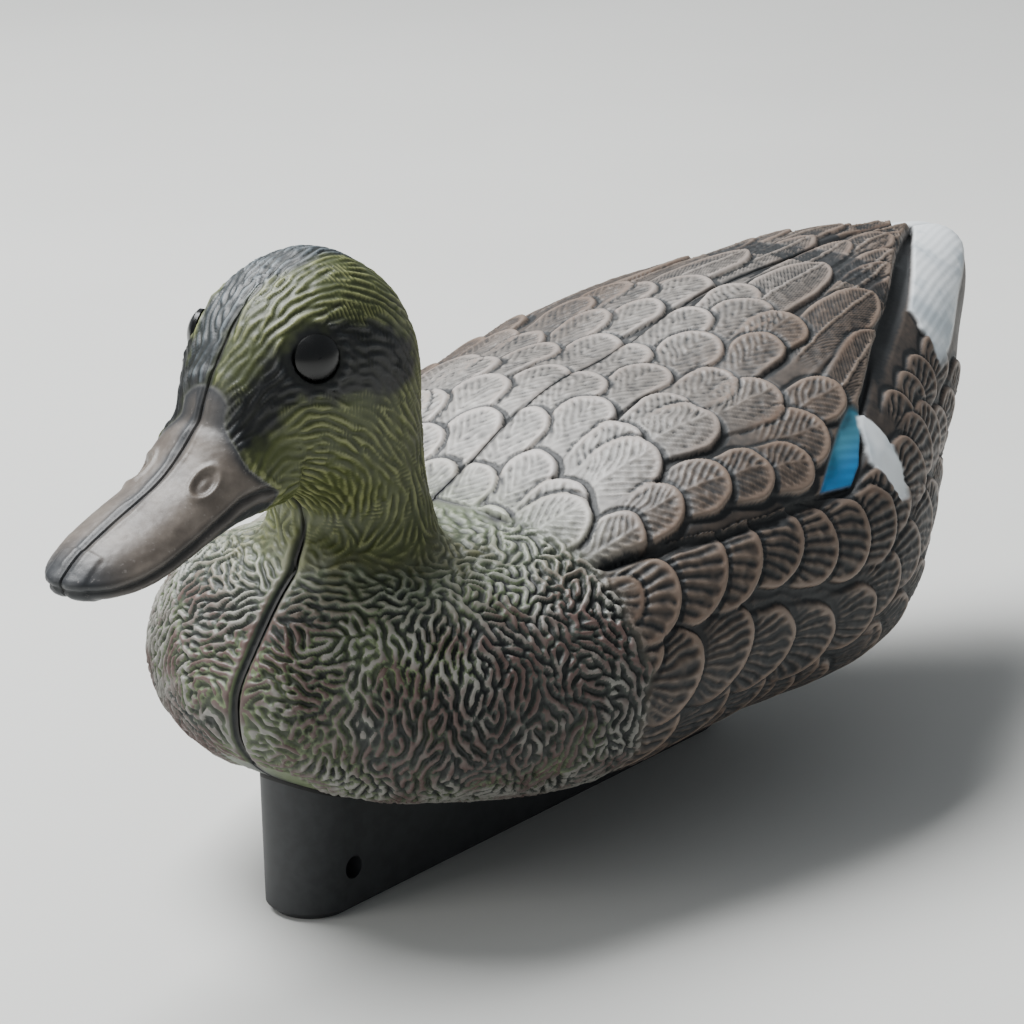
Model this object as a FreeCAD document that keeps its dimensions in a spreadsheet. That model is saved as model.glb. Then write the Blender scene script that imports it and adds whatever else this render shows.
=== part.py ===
import FreeCAD, Part
import math
import os

# A floating duck decoy: two moulded half shells joined on the middle plane, push-in eyes, a ballasted
# keel screwed on under a sealing strip, and a drain plug.
# Frame: +X towards the bill, +Y to the duck's left, +Z up, origin on the floor under the middle of the
# outer box. The decoy stands on the flat bottom of its keel.

Vector = FreeCAD.Vector

DIMENSIONS = [
    ("HalfLength", 182.0, "tail tip or bill tip to the middle of the box"),
    ("HalfWidth", 79.5, "middle plane to the widest point of the flank"),
    ("OverallHeight", 171.5, "keel bottom to crown"),
    ("Wall", 2.2, "thickness of the moulded shell"),
    ("WeldWidth", 0.8, "width of the weld between the two shells"),
    ("WeldDepth", 0.8, "how far the weld lies below the outer skin"),
    ("EyeRadius", 5.6, "radius of the eye at its base"),
    ("EyeBase", 1.0, "depth of the eye's seat"),
    ("EyeDome", 2.2, "height of the eye above its base"),
    ("EyeSeatGap", 0.5, "open ring round the eye in its seat"),
    ("EyeSeatOpening", 6.0, "height of the cut that opens the eye's seat"),
    ("EyeStemRadius", 2.0, "push-in stem of the eye"),
    ("EyeStemLength", 6.0, "push-in stem of the eye"),
    ("EyeX", 113.3, "eye centre, towards the bill"),
    ("EyeY", 19.9, "eye centre, out from the middle plane"),
    ("EyeZ", 151.5, "eye centre, height"),
    ("EyeYaw", 26.0, "degrees the eye looks forwards of straight sideways"),
    ("EyeTilt", 7.0, "degrees the eye looks upwards"),
    ("KeelRear", -62.0, "rear end of the keel"),
    ("KeelFront", 114.0, "front end of the keel"),
    ("KeelWidth", 24.0, "width of the keel"),
    ("KeelTop", 60.0, "height of the blank that the hull is cut out of"),
    ("KeelEdge", 2.0, "chamfer round the keel's foot"),
    ("StripThickness", 1.0, "sealing strip between keel and hull"),
    ("LineHoleRadius", 3.0, "hole that the anchor line ties to"),
    ("LineHoleX", 99.0, "line hole, along the keel"),
    ("LineHoleZ", 12.0, "line hole, height"),
    ("BallastLength", 108.0, "cast ballast bar"),
    ("BallastWidth", 15.0, "cast ballast bar"),
    ("BallastHeight", 11.0, "cast ballast bar"),
    ("BallastMiddle", 18.0, "middle of the ballast bar, along the keel"),
    ("BallastFloor", 4.0, "keel floor under the ballast bar"),
    ("BallastGap", 0.3, "room round the ballast bar"),
    ("ScrewSpread", 6.0, "keel screws, out from the middle plane"),
    ("ScrewFrontX", 84.0, "front pair of keel screws"),
    ("ScrewRearX", -48.0, "rear pair of keel screws"),
    ("ScrewRadius", 2.0, "shank of a keel screw"),
    ("ScrewShank", 22.0, "length of shank above the head"),
    ("ScrewHeadRadius", 3.2, "head of a keel screw"),
    ("ScrewHeadHeight", 2.6, "head of a keel screw"),
    ("ScrewSlot", 0.8, "width of the cross recess in a screw head"),
    ("ScrewGap", 0.3, "room round a screw"),
    ("ScrewGrip", 12.0, "keel thickness that a screw head pulls on"),
    ("InsertRadius", 3.0, "threaded insert in the hull's boss"),
    ("InsertLength", 9.0, "threaded insert in the hull's boss"),
    ("BossRadius", 5.0, "moulded boss round an insert"),
    ("BossHeight", 14.0, "moulded boss above the hull's outer face"),
    ("DrainX", -78.0, "drain plug, along the hull"),
    ("DrainY", 22.0, "drain plug, out from the middle plane"),
    ("DrainRise", 1.0, "how far the plug's seat lies above the underside there"),
    ("DrainBore", 5.0, "radius of the drain hole"),
    ("DrainClearance", 0.05, "plug to bore, each side"),
    ("DrainBoss", 9.5, "radius of the moulded boss round the drain hole"),
    ("DrainDepth", 9.0, "length of the drain hole"),
    ("FlangeRadius", 7.5, "flange of the drain plug"),
    ("FlangeHeight", 2.5, "flange of the drain plug"),
    ("GripHeight", 3.0, "finger grip under the plug's flange"),
    ("RingSection", 0.8, "section radius of the drain plug's seal ring"),
]

# Cross sections of the hull from breast to tail, in shares of the driving dimensions:
# place along X of HalfLength, underside and back of OverallHeight, half width of HalfWidth, and how far
# up the section its widest point lies.
HULL = [
    (0.698, 0.326, 0.362, 0.10, 0.50),
    (0.665, 0.259, 0.426, 0.33, 0.47),
    (0.621, 0.222, 0.481, 0.52, 0.44),
    (0.560, 0.192, 0.536, 0.68, 0.42),
    (0.467, 0.163, 0.554, 0.765, 0.42),
    (0.330, 0.134, 0.545, 0.855, 0.43),
    (0.132, 0.128, 0.618, 0.94, 0.47),
    (-0.110, 0.119, 0.671, 1.00, 0.48),
    (-0.313, 0.111, 0.714, 0.96, 0.46),
    (-0.473, 0.163, 0.726, 0.79, 0.47),
    (-0.637, 0.274, 0.726, 0.60, 0.53),
    (-0.786, 0.402, 0.717, 0.42, 0.58),
    (-0.896, 0.501, 0.706, 0.28, 0.58),
    (-0.967, 0.566, 0.697, 0.17, 0.58),
    (-1.000, 0.612, 0.685, 0.08, 0.55),
]

# Level sections of neck and head from the neck's foot to the crown: height of OverallHeight, nape and
# front of HalfLength, half width of HalfWidth, and how far forward the widest point lies.
NECK = [
    (0.478, 0.290, 0.590, 0.46, 0.45),
    (0.536, 0.335, 0.571, 0.34, 0.45),
    (0.577, 0.354, 0.552, 0.29, 0.45),
    (0.624, 0.362, 0.555, 0.27, 0.45),
    (0.659, 0.362, 0.593, 0.27, 0.45),
    (0.711, 0.358, 0.676, 0.28, 0.42),
    (0.770, 0.358, 0.736, 0.293, 0.42),
    (0.810, 0.360, 0.734, 0.302, 0.42),
    (0.863, 0.374, 0.709, 0.308, 0.44),
    (0.910, 0.396, 0.677, 0.289, 0.45),
    (0.950, 0.426, 0.639, 0.239, 0.45),
    (0.980, 0.462, 0.586, 0.160, 0.45),
    (1.000, 0.515, 0.530, 0.030, 0.50),
]

# Cross sections of the bill from inside the head to the tip, in the same shares as the hull's.
BILL = [
    (0.648, 0.653, 0.828, 0.245, 0.40),
    (0.703, 0.656, 0.822, 0.220, 0.38),
    (0.753, 0.647, 0.786, 0.201, 0.38),
    (0.808, 0.636, 0.741, 0.191, 0.38),
    (0.868, 0.624, 0.715, 0.195, 0.35),
    (0.923, 0.615, 0.693, 0.182, 0.33),
    (0.962, 0.615, 0.675, 0.145, 0.35),
    (0.989, 0.621, 0.656, 0.088, 0.45),
    (1.000, 0.630, 0.645, 0.038, 0.50),
]

HULL_ROUNDNESS = 2.3
HEAD_ROUNDNESS = 2.15
SECTION_POINTS = 16
SMALLEST_CAVITY = 4.0
SMALLEST_WELD = 0.5
FAR = 400.0


def fill_sheet(doc):
    """The driving dimensions, each in a cell with a word for its alias."""
    sheet = doc.addObject("Spreadsheet::Sheet", "Dims")
    for row, (alias, value, note) in enumerate(DIMENSIONS, start=1):
        sheet.set(f"A{row}", alias)
        sheet.set(f"B{row}", str(value))
        sheet.setAlias(f"B{row}", alias)
        sheet.set(f"C{row}", note)
    doc.recompute()
    return sheet


def scaled(sheet, rows, upright):
    """Sections in millimetres. An upright loft climbs along Z, the others run along X."""
    along = sheet.OverallHeight if upright else sheet.HalfLength
    across = sheet.HalfLength if upright else sheet.OverallHeight
    return [
        (place * along, low * across, high * across, half * sheet.HalfWidth, belly)
        for place, low, high, half, belly in rows
    ]


def inset(sections, depth, smallest):
    """Sections of a surface that lies depth inside the given one, measured square to it."""
    result = []
    last = len(sections) - 1
    for index, (place, low, high, half, belly) in enumerate(sections):
        before, after = sections[max(index - 1, 0)], sections[min(index + 1, last)]
        rates = [(after[column] - before[column]) / (after[0] - before[0]) for column in (1, 2, 3)]
        if index in (0, last):
            rates = [0, 0, 0]
            inwards = after[0] - place if index == 0 else before[0] - place
            place += math.copysign(depth, inwards)
        below, above, beside = (depth * math.sqrt(1 + rate ** 2) for rate in rates)
        if half - beside > smallest:
            result.append((place, low + below, high - above, half - beside, belly))
    return result


def section_curve(section, roundness, upright):
    """One closed section, a superellipse whose widest point lies at its belly."""
    place, low, high, half, belly = section
    middle = low + (high - low) * belly
    points = []
    for step in range(SECTION_POINTS):
        angle = 2 * math.pi * (step + 0.5) / SECTION_POINTS
        rise, side = math.sin(angle), math.cos(angle)
        reach = high - middle if rise > 0 else middle - low
        along = middle + reach * math.copysign(abs(rise) ** (2 / roundness), rise)
        out = half * math.copysign(abs(side) ** (2 / roundness), side)
        points.append(Vector(along, out, place) if upright else Vector(place, out, along))
    curve = Part.BSplineCurve()
    curve.interpolate(points, PeriodicFlag=True)
    return Part.Wire(curve.toShape())


def loft(doc, name, sections, roundness, upright=False):
    """A smooth closed solid through the sections."""
    feature = doc.addObject("Part::Feature", name)
    feature.Shape = Part.makeLoft([section_curve(s, roundness, upright) for s in sections], True)
    feature.Placement = FreeCAD.Placement()
    return feature


def sized(doc, kind, name, sizes, base, rotation=None):
    """A Part primitive whose sizes and place follow the sheet."""
    item = doc.addObject(kind, name)
    if rotation:
        item.Placement = FreeCAD.Placement(Vector(), rotation)
    for size, formula in sizes.items():
        item.setExpression(size, formula)
    for axis, formula in zip("xyz", base):
        item.setExpression(f"Placement.Base.{axis}", formula)
    return item


def block(doc, name, length, width, height, base):
    return sized(doc, "Part::Box", name, {"Length": length, "Width": width, "Height": height}, base)


def rod(doc, name, radius, height, base, rotation=None):
    return sized(doc, "Part::Cylinder", name, {"Radius": radius, "Height": height}, base, rotation)


def cut(doc, name, base, tool):
    item = doc.addObject("Part::Cut", name)
    item.Base = base
    item.Tool = tool
    item.Refine = False
    return item


def several(doc, kind, name, shapes):
    item = doc.addObject(kind, name)
    item.Shapes = list(shapes)
    item.Refine = False
    return item


def fuse(doc, name, *shapes):
    return several(doc, "Part::MultiFuse", name, shapes)


def common(doc, name, *shapes):
    return several(doc, "Part::MultiCommon", name, shapes)


def lofted_duck(doc, tag, hull, neck, bill):
    """Hull, neck with head, and bill as one solid."""
    return fuse(
        doc,
        tag,
        loft(doc, f"{tag}_hull", hull, HULL_ROUNDNESS),
        loft(doc, f"{tag}_head", neck, HEAD_ROUNDNESS, True),
        loft(doc, f"{tag}_bill", bill, HEAD_ROUNDNESS),
    )


def body_solids(doc, sheet):
    """The outer skin, the skin that the weld reaches up to, and the hollow. The bill is solid."""
    hull = scaled(sheet, HULL, False)
    neck = scaled(sheet, NECK, True)
    bill = scaled(sheet, BILL, False)
    skin = lofted_duck(doc, "skin", hull, neck, bill)
    below = [inset(rows, sheet.WeldDepth, SMALLEST_WELD) for rows in (hull, neck, bill)]
    weld_skin = lofted_duck(doc, "weld_skin", *below)
    hollow = fuse(
        doc,
        "hollow",
        loft(doc, "hull_hollow", inset(hull, sheet.Wall, SMALLEST_CAVITY), HULL_ROUNDNESS),
        loft(doc, "head_hollow", inset(neck, sheet.Wall, SMALLEST_CAVITY), HEAD_ROUNDNESS, True),
    )
    return skin, weld_skin, hollow


def eye_turn(sheet, side):
    """Turns +Z to the way that the eye on that side looks."""
    yaw = math.radians(sheet.EyeYaw)
    tilt = math.radians(sheet.EyeTilt)
    level = math.cos(tilt)
    look = Vector(level * math.sin(yaw), side * level * math.cos(yaw), math.sin(tilt))
    return FreeCAD.Rotation(Vector(0, 0, 1), look)


def local_rod(doc, name, radius, start, height, sheet, side):
    """A cylinder on the eye's own axis, from start to start + height along its look."""
    item = doc.addObject("Part::Cylinder", name)
    item.setExpression("Radius", radius)
    item.setExpression("Height", height)
    turn = eye_turn(sheet, side)
    centre = Vector(sheet.EyeX, side * sheet.EyeY, sheet.EyeZ)
    item.Placement = FreeCAD.Placement(centre + turn.multVec(Vector(0, 0, start)), turn)
    return item


def make_eye(doc, name, sheet, side):
    """A glossy dome on a short base, with a stem that pushes into the head."""
    base_radius, dome = sheet.EyeRadius, sheet.EyeDome
    ball_radius = (base_radius ** 2 + dome ** 2) / (2 * dome)
    turn = eye_turn(sheet, side)
    centre = Vector(sheet.EyeX, side * sheet.EyeY, sheet.EyeZ)
    ball = doc.addObject("Part::Sphere", f"{name}_ball")
    ball.Radius = ball_radius
    ball.Placement = FreeCAD.Placement(centre + turn.multVec(Vector(0, 0, dome - ball_radius)), turn)
    cap = local_rod(doc, f"{name}_cap", "Dims.EyeRadius", 0, "Dims.EyeDome", sheet, side)
    dome_part = common(doc, f"{name}_dome", ball, cap)
    base = local_rod(doc, f"{name}_base", "Dims.EyeRadius", -sheet.EyeBase, "Dims.EyeBase", sheet, side)
    stem_start = -sheet.EyeBase - sheet.EyeStemLength
    stem = local_rod(
        doc, f"{name}_stem", "Dims.EyeStemRadius", stem_start, "Dims.EyeStemLength", sheet, side
    )
    return fuse(doc, name, dome_part, base, stem)


def eye_seat_tools(doc, sheet, side):
    """What the head gains and loses for one eye: a boss inside, and the seat with its stem hole."""
    tag = "left" if side > 0 else "right"
    boss_start = -sheet.EyeBase - sheet.EyeStemLength - sheet.Wall
    boss_height = "Dims.EyeStemLength + Dims.Wall"
    boss_radius = "Dims.EyeStemRadius + Dims.Wall"
    boss = local_rod(doc, f"{tag}_eye_boss", boss_radius, boss_start, boss_height, sheet, side)
    seat_radius = "Dims.EyeRadius + Dims.EyeSeatGap"
    seat = local_rod(
        doc, f"{tag}_eye_seat", seat_radius, -sheet.EyeBase, "Dims.EyeSeatOpening", sheet, side
    )
    stem_start = -sheet.EyeBase - sheet.EyeStemLength
    hole = local_rod(
        doc, f"{tag}_stem_hole", "Dims.EyeStemRadius", stem_start, "Dims.EyeStemLength + Dims.EyeBase", sheet, side
    )
    return boss, [seat, hole]


def hull_underside(skin, along, out):
    """Height of the skin's underside straight above a point of the floor."""
    probe = Part.makeLine(Vector(along, out, 0), Vector(along, out, skin.Shape.BoundBox.ZMax))
    return skin.Shape.common(probe).BoundBox.ZMin


def measure_roofs(doc, sheet, skin):
    """Heights of the underside over the screws and the drain, as cells of the sheet."""
    spots = {
        "RoofFront": (sheet.ScrewFrontX, sheet.ScrewSpread),
        "RoofRear": (sheet.ScrewRearX, sheet.ScrewSpread),
        "RoofDrain": (sheet.DrainX, sheet.DrainY),
    }
    for row, (alias, spot) in enumerate(spots.items(), start=len(DIMENSIONS) + 1):
        sheet.set(f"A{row}", alias)
        sheet.set(f"B{row}", f"{hull_underside(skin, *spot):.2f}")
        sheet.setAlias(f"B{row}", alias)
    doc.recompute()


def screw_spots(side):
    """The two keel screws on one side: a tag, and the formulas of X, Y and the underside's height."""
    tag = "left" if side > 0 else "right"
    out = "Dims.ScrewSpread" if side > 0 else "-Dims.ScrewSpread"
    return [
        (f"{tag}_front", "Dims.ScrewFrontX", out, "Dims.RoofFront"),
        (f"{tag}_rear", "Dims.ScrewRearX", out, "Dims.RoofRear"),
    ]


def screw_boss_tools(doc, skin, side):
    """For each keel screw on one side: a boss inside the hull, its insert's hole and the shank's hole."""
    bosses, holes = [], []
    for tag, along, out, roof in screw_spots(side):
        top = f"{roof} + Dims.BossHeight"
        column = rod(doc, f"{tag}_column", "Dims.BossRadius", top, (along, out, "0"))
        bosses.append(common(doc, f"{tag}_boss", column, skin))
        seat = (along, out, f"{roof} + Dims.BossHeight - Dims.InsertLength - 2 * Dims.StripThickness")
        holes.append(rod(doc, f"{tag}_insert_hole", "Dims.InsertRadius", "Dims.InsertLength", seat))
        holes.append(rod(doc, f"{tag}_shank_hole", "Dims.ScrewRadius + Dims.ScrewGap",
                         f"{roof} + Dims.BossHeight - Dims.InsertLength", (along, out, "0")))
    return bosses, holes


def drain_tools(doc):
    """The drain's boss, the recess below its seat and its bore."""
    spot = ("Dims.DrainX", "Dims.DrainY")
    seat = "Dims.RoofDrain + Dims.DrainRise"
    boss = rod(doc, "drain_boss", "Dims.DrainBoss", "Dims.DrainDepth", (*spot, seat))
    recess = rod(doc, "drain_recess", "Dims.FlangeRadius + Dims.DrainRise", seat, (*spot, "0"))
    bore = rod(doc, "drain_bore", "Dims.DrainBore", "Dims.RoofDrain + 2 * Dims.DrainDepth", (*spot, "0"))
    return boss, [recess, bore]


def make_shell(doc, name, sheet, skin, hollow, side):
    """One half of the moulded duck, from its own bosses and holes."""
    eye_boss, eye_holes = eye_seat_tools(doc, sheet, side)
    bosses, holes = screw_boss_tools(doc, skin, side)
    bosses.append(eye_boss)
    holes += eye_holes
    if side > 0:
        drain_boss, drain_holes = drain_tools(doc)
        bosses.append(drain_boss)
        holes += drain_holes
    start = "Dims.WeldWidth / 2" if side > 0 else f"-Dims.WeldWidth / 2 - {FAR}"
    room = block(doc, f"{name}_room", f"2 * {FAR}", f"{FAR}", f"{FAR}", (f"-{FAR}", start, "0"))
    wall = cut(doc, f"{name}_wall", common(doc, f"{name}_half", skin, room), hollow)
    solid = fuse(doc, f"{name}_bossed", wall, *bosses)
    return cut(doc, name, solid, fuse(doc, f"{name}_holes", *holes))


def make_weld(doc, weld_skin, hollow):
    """The weld that joins the shells, a little below the skin all the way round."""
    ring = cut(doc, "weld_ring", weld_skin, hollow)
    slab = block(doc, "weld_slab", f"2 * {FAR}", "Dims.WeldWidth", f"{FAR}",
                 (f"-{FAR}", "-Dims.WeldWidth / 2", "0"))
    return common(doc, "seam_weld", ring, slab)


def keel_blank(doc, name):
    """A straight bar with round ends, as tall as the hull needs."""
    half = "Dims.KeelWidth / 2"
    straight = "Dims.KeelFront - Dims.KeelRear - Dims.KeelWidth"
    middle = block(doc, f"{name}_middle", straight, "Dims.KeelWidth", "Dims.KeelTop",
                   (f"Dims.KeelRear + {half}", f"-{half}", "0"))
    rear = rod(doc, f"{name}_rear", half, "Dims.KeelTop", (f"Dims.KeelRear + {half}", "0", "0"))
    front = rod(doc, f"{name}_front", half, "Dims.KeelTop", (f"Dims.KeelFront - {half}", "0", "0"))
    blank = fuse(doc, name, middle, rear, front)
    blank.Refine = True
    return blank


def chamfered_foot(doc, blank, sheet):
    """The blank with its bottom edge chamfered all round."""
    doc.recompute()
    size = float(sheet.KeelEdge)
    low = [i for i, edge in enumerate(blank.Shape.Edges, start=1) if edge.BoundBox.ZMax < size / 2]
    chamfer = doc.addObject("Part::Chamfer", "keel_foot")
    chamfer.Base = blank
    chamfer.Edges = [(i, size, size) for i in low]
    return chamfer


def make_keel(doc, sheet, lowered_hull):
    """The keel: hollowed for its ballast from above, drilled for four screws and the anchor line."""
    foot = chamfered_foot(doc, keel_blank(doc, "keel_blank"), sheet)
    shaped = cut(doc, "keel_shaped", foot, lowered_hull)
    gap = "Dims.BallastGap"
    corner = (
        f"Dims.BallastMiddle - Dims.BallastLength / 2 - {gap}",
        f"-Dims.BallastWidth / 2 - {gap}",
        "Dims.BallastFloor",
    )
    pocket = block(
        doc, "ballast_pocket", f"Dims.BallastLength + 2 * {gap}",
        f"Dims.BallastWidth + 2 * {gap}", "Dims.KeelTop", corner,
    )
    across = FreeCAD.Rotation(Vector(1, 0, 0), 90)
    line_start = ("Dims.LineHoleX", "Dims.KeelWidth", "Dims.LineHoleZ")
    line_hole = rod(
        doc, "line_hole", "Dims.LineHoleRadius", "2 * Dims.KeelWidth", line_start, across
    )
    holes = [pocket, line_hole]
    for side in (1, -1):
        for tag, along, out, roof in screw_spots(side):
            head_top = f"{roof} - Dims.StripThickness - Dims.ScrewGrip"
            spot = (along, out, "0")
            sink_radius = "Dims.ScrewHeadRadius + Dims.ScrewGap"
            shank_radius = "Dims.ScrewRadius + Dims.ScrewGap"
            holes.append(rod(doc, f"{tag}_sink", sink_radius, head_top, spot))
            holes.append(rod(doc, f"{tag}_clearance", shank_radius, "Dims.KeelTop", spot))
    return cut(doc, "keel", shaped, fuse(doc, "keel_holes", *holes))


def make_strip(doc, lowered_hull, hull):
    """The sealing strip, as wide as the keel, between the keel's top and the hull."""
    blank = keel_blank(doc, "strip_blank")
    layer = cut(doc, "strip_layer", common(doc, "strip_block", blank, lowered_hull), hull)
    holes = [
        rod(doc, f"{tag}_strip_hole", "Dims.ScrewRadius + Dims.ScrewGap", "Dims.KeelTop", (along, out, "0"))
        for side in (1, -1)
        for tag, along, out, _ in screw_spots(side)
    ]
    return cut(doc, "sealing_strip", layer, fuse(doc, "strip_holes", *holes))


def make_ballast(doc):
    """A cast bar that lies on the keel's floor."""
    base = ("Dims.BallastMiddle - Dims.BallastLength / 2", "-Dims.BallastWidth / 2", "Dims.BallastFloor")
    return block(doc, "ballast_bar", "Dims.BallastLength", "Dims.BallastWidth", "Dims.BallastHeight", base)


def make_screws(doc):
    """Four pan-head screws that pull the keel up to the hull, with a cross recess in each head."""
    pieces = []
    for side in (1, -1):
        for tag, along, out, roof in screw_spots(side):
            head_top = f"{roof} - Dims.StripThickness - Dims.ScrewGrip"
            head = rod(doc, f"{tag}_head", "Dims.ScrewHeadRadius", "Dims.ScrewHeadHeight",
                       (along, out, f"{head_top} - Dims.ScrewHeadHeight"))
            shank = rod(doc, f"{tag}_shank", "Dims.ScrewRadius", "Dims.ScrewShank", (along, out, head_top))
            recess_base = f"{head_top} - Dims.ScrewHeadHeight"
            reach, slot = "Dims.ScrewRadius", "Dims.ScrewSlot"
            slots = [
                block(doc, f"{tag}_slot_along", f"2 * {reach}", slot, "Dims.ScrewHeadHeight / 2",
                      (f"{along} - {reach}", f"{out} - {slot} / 2", recess_base)),
                block(doc, f"{tag}_slot_across", slot, f"2 * {reach}", "Dims.ScrewHeadHeight / 2",
                      (f"{along} - {slot} / 2", f"{out} - {reach}", recess_base)),
            ]
            solid = fuse(doc, f"{tag}_screw_blank", head, shank)
            pieces.append(cut(doc, f"{tag}_screw", solid, fuse(doc, f"{tag}_recess", *slots)))
    group = doc.addObject("Part::Compound", "keel_screws")
    group.Links = pieces
    return group


def make_inserts(doc):
    """Four threaded brass inserts in the hull's bosses."""
    pieces = []
    for side in (1, -1):
        for tag, along, out, roof in screw_spots(side):
            base = (along, out, f"{roof} + Dims.BossHeight - Dims.InsertLength - 2 * Dims.StripThickness")
            sleeve = rod(doc, f"{tag}_sleeve", "Dims.InsertRadius", "Dims.InsertLength", base)
            thread = rod(doc, f"{tag}_thread", "Dims.ScrewRadius", "Dims.InsertLength", base)
            pieces.append(cut(doc, f"{tag}_insert", sleeve, thread))
    group = doc.addObject("Part::Compound", "threaded_inserts")
    group.Links = pieces
    return group


def make_drain_plug(doc):
    """A plug with a flange and a finger grip below, and a groove for its seal ring."""
    spot = ("Dims.DrainX", "Dims.DrainY")
    seat = "Dims.RoofDrain + Dims.DrainRise"
    stem_radius = "Dims.DrainBore - Dims.DrainClearance"
    flange_start = (*spot, f"{seat} - Dims.FlangeHeight")
    flange = rod(doc, "plug_flange", "Dims.FlangeRadius", "Dims.FlangeHeight", flange_start)
    stem = rod(doc, "plug_stem", stem_radius, "Dims.DrainDepth", (*spot, seat))
    grip = block(doc, "plug_grip", "2 * Dims.DrainBore", "Dims.FlangeHeight", "Dims.GripHeight",
                 ("Dims.DrainX - Dims.DrainBore", "Dims.DrainY - Dims.FlangeHeight / 2",
                  f"{seat} - Dims.FlangeHeight - Dims.GripHeight"))
    groove = doc.addObject("Part::Torus", "plug_groove")
    return cut(doc, "drain_plug", fuse(doc, "plug_blank", flange, stem, grip), ring_shape(groove))


def ring_shape(torus):
    """Sets a torus round the drain plug's stem, half its section deep."""
    torus.setExpression("Radius1", "Dims.DrainBore - 2 * Dims.DrainClearance - Dims.RingSection")
    torus.setExpression("Radius2", "Dims.RingSection")
    torus.setExpression("Placement.Base.x", "Dims.DrainX")
    torus.setExpression("Placement.Base.y", "Dims.DrainY")
    torus.setExpression("Placement.Base.z", "Dims.RoofDrain + Dims.DrainRise + Dims.DrainDepth / 2")
    return torus


def make_seal_ring(doc):
    return ring_shape(doc.addObject("Part::Torus", "drain_seal"))


def check(doc):
    """Stops if any object failed or any solid is not sound."""
    for item in doc.Objects:
        if "Invalid" in item.State or "Error" in item.State:
            raise RuntimeError(f"{item.Name} failed: {item.State}")
        shape = getattr(item, "Shape", None)
        if shape is not None and (shape.isNull() or not shape.isValid()):
            raise RuntimeError(f"{item.Name} has no sound shape")


def main():
    doc = FreeCAD.newDocument("floating_duck_decoy")
    sheet = fill_sheet(doc)
    skin, weld_skin, hollow = body_solids(doc, sheet)
    doc.recompute()
    measure_roofs(doc, sheet, skin)
    hull_rows = scaled(sheet, HULL, False)
    hull = loft(doc, "hull_for_strip", hull_rows, HULL_ROUNDNESS)
    lowered_hull = loft(doc, "hull_for_keel", hull_rows, HULL_ROUNDNESS)
    lowered_hull.setExpression("Placement.Base.z", "-Dims.StripThickness")
    parts = [
        make_shell(doc, "left_shell", sheet, skin, hollow, 1),
        make_shell(doc, "right_shell", sheet, skin, hollow, -1),
        make_weld(doc, weld_skin, hollow),
        make_eye(doc, "left_eye", sheet, 1),
        make_eye(doc, "right_eye", sheet, -1),
        make_keel(doc, sheet, lowered_hull),
        make_strip(doc, lowered_hull, hull),
        make_ballast(doc),
        make_screws(doc),
        make_inserts(doc),
        make_drain_plug(doc),
        make_seal_ring(doc),
    ]
    for part in parts:
        part.Label = part.Name
    doc.recompute()
    check(doc)
    os.makedirs("parts", exist_ok=True)
    for part in parts:
        part.Shape.exportStep(os.path.join("parts", f"{part.Label}.step"))
        box = part.Shape.BoundBox
        print(f"{part.Label}: {len(part.Shape.Solids)} solid(s), {part.Shape.Volume / 1000:.2f} cm3, "
              f"z {box.ZMin:.2f} to {box.ZMax:.2f}, x {box.XMin:.2f} to {box.XMax:.2f}")


main()
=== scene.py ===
import math

import bmesh
import bpy
import numpy as np
from mathutils import Matrix, Vector
from mathutils.bvhtree import BVHTree


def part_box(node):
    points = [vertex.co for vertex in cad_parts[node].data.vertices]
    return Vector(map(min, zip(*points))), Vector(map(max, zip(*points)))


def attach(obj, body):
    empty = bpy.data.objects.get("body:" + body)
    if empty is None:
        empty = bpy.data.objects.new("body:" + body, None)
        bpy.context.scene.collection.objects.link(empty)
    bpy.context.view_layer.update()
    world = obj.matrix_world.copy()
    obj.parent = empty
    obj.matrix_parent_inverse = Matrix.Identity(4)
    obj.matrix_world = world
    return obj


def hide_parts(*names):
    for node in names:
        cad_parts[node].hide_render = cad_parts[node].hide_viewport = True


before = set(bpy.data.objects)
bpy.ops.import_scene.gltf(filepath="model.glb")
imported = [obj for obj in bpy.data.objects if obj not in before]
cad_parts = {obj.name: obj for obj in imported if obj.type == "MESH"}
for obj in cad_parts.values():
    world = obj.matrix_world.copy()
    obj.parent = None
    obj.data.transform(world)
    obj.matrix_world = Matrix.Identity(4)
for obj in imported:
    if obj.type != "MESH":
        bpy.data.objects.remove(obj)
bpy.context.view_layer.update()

MM = 0.001
VOXEL = 0.00055
SEAM_HALF = 0.4
SIDES = ("left", "right")


# ---------------------------------------------------------------- small helpers

def smooth(x, lo, hi):
    """0 below lo, 1 above hi, smooth between."""
    t = np.clip((x - lo) / (hi - lo), 0, 1)
    return t * t * (3 - 2 * t)


def bell(x, width):
    return np.exp(-(x / width) ** 2)


def lattice_noise(points, cell, seed):
    """Smooth noise from -1 to 1 with features about one cell across."""
    rng = np.random.default_rng(seed)
    size = 64
    table = rng.uniform(-1, 1, (size, size, size)).astype(np.float32)
    q = points / cell
    base = np.floor(q).astype(int)
    f = q - base
    f = f * f * (3 - 2 * f)
    out = 0
    for dx in (0, 1):
        for dy in (0, 1):
            for dz in (0, 1):
                weight = f[:, 0] if dx else 1 - f[:, 0]
                weight = weight * (f[:, 1] if dy else 1 - f[:, 1])
                weight = weight * (f[:, 2] if dz else 1 - f[:, 2])
                i, j, k = ((base + (dx, dy, dz)) % size).T
                out = out + weight * table[i, j, k]
    return out


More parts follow.
